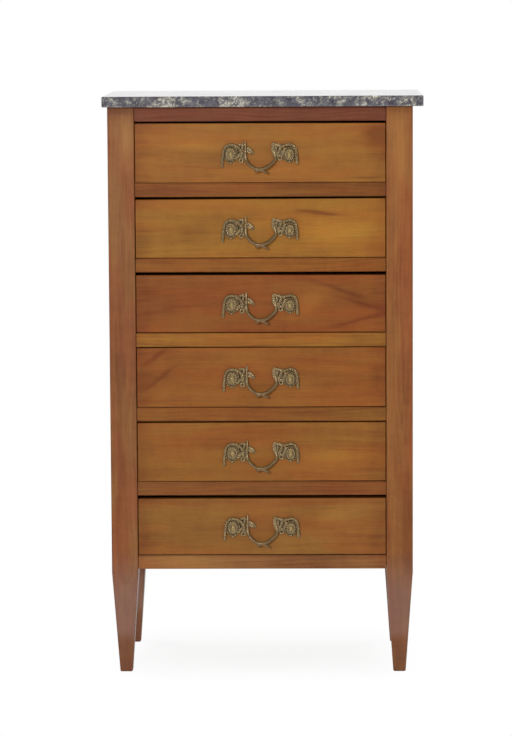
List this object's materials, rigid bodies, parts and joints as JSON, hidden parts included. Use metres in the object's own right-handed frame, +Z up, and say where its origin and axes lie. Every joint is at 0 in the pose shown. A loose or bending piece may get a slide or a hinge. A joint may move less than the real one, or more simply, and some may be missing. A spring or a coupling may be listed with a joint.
{
  "type": "tall chest of drawers",
  "caption": "Tall narrow wooden chest of drawers on tapered legs, with sliding drawers, cast brass ribbon pulls and a loose marble slab on top.",
  "frame": {"origin": "on the floor, on the carcass's middle line and under the middle of the slab's depth", "axes": "+Z up; the drawers face -Y; +X to the right as seen from the front"},
  "size_m": [0.66, 0.3737, 1.206],
  "materials": {
    "case_wood": "satin varnish",
    "front_wood": "satin varnish",
    "inner_wood": "bare",
    "marble": "polished",
    "brass": "dull patina",
    "steel": "dull"
  },
  "bodies": {
    "carcass": {"marble_top": "marble", "front_left_post": "case_wood", "back_left_post": "case_wood", "front_right_post": "case_wood", "back_right_post": "case_wood", "top_front_rail": "case_wood", "drawer_rail_1": "case_wood", "drawer_rail_2": "case_wood", "drawer_rail_3": "case_wood", "drawer_rail_4": "case_wood", "drawer_rail_5": "case_wood", "bottom_front_rail": "case_wood", "left_side_panel": "case_wood", "right_side_panel": "case_wood", "back_panel": "inner_wood", "carcass_rails": "case_wood", "drawer_runners": "inner_wood", "drawer_stops": "inner_wood"},
    "drawer_1": {"drawer_1_front": "front_wood", "drawer_1_left_side": "inner_wood", "drawer_1_right_side": "inner_wood", "drawer_1_back": "inner_wood", "drawer_1_bottom": "inner_wood", "drawer_1_pull": "brass", "drawer_1_pull_screws": "steel"},
    "drawer_2": {"drawer_2_front": "front_wood", "drawer_2_left_side": "inner_wood", "drawer_2_right_side": "inner_wood", "drawer_2_back": "inner_wood", "drawer_2_bottom": "inner_wood", "drawer_2_pull": "brass", "drawer_2_pull_screws": "steel"},
    "drawer_3": {"drawer_3_front": "front_wood", "drawer_3_left_side": "inner_wood", "drawer_3_right_side": "inner_wood", "drawer_3_back": "inner_wood", "drawer_3_bottom": "inner_wood", "drawer_3_pull": "brass", "drawer_3_pull_screws": "steel"},
    "drawer_4": {"drawer_4_front": "front_wood", "drawer_4_left_side": "inner_wood", "drawer_4_right_side": "inner_wood", "drawer_4_back": "inner_wood", "drawer_4_bottom": "inner_wood", "drawer_4_pull": "brass", "drawer_4_pull_screws": "steel"},
    "drawer_5": {"drawer_5_front": "front_wood", "drawer_5_left_side": "inner_wood", "drawer_5_right_side": "inner_wood", "drawer_5_back": "inner_wood", "drawer_5_bottom": "inner_wood", "drawer_5_pull": "brass", "drawer_5_pull_screws": "steel"},
    "drawer_6": {"drawer_6_front": "front_wood", "drawer_6_left_side": "inner_wood", "drawer_6_right_side": "inner_wood", "drawer_6_back": "inner_wood", "drawer_6_bottom": "inner_wood", "drawer_6_pull": "brass", "drawer_6_pull_screws": "steel"}
  },
  "joints": [
    {"name": "drawer_1_slide", "type": "slide", "parent": "carcass", "child": "drawer_1", "axis": [0, -1, 0], "range_m": [0, 0.24]},
    {"name": "drawer_2_slide", "type": "slide", "parent": "carcass", "child": "drawer_2", "axis": [0, -1, 0], "range_m": [0, 0.24]},
    {"name": "drawer_3_slide", "type": "slide", "parent": "carcass", "child": "drawer_3", "axis": [0, -1, 0], "range_m": [0, 0.24]},
    {"name": "drawer_4_slide", "type": "slide", "parent": "carcass", "child": "drawer_4", "axis": [0, -1, 0], "range_m": [0, 0.24]},
    {"name": "drawer_5_slide", "type": "slide", "parent": "carcass", "child": "drawer_5", "axis": [0, -1, 0], "range_m": [0, 0.24]},
    {"name": "drawer_6_slide", "type": "slide", "parent": "carcass", "child": "drawer_6", "axis": [0, -1, 0], "range_m": [0, 0.24]}
  ]
}
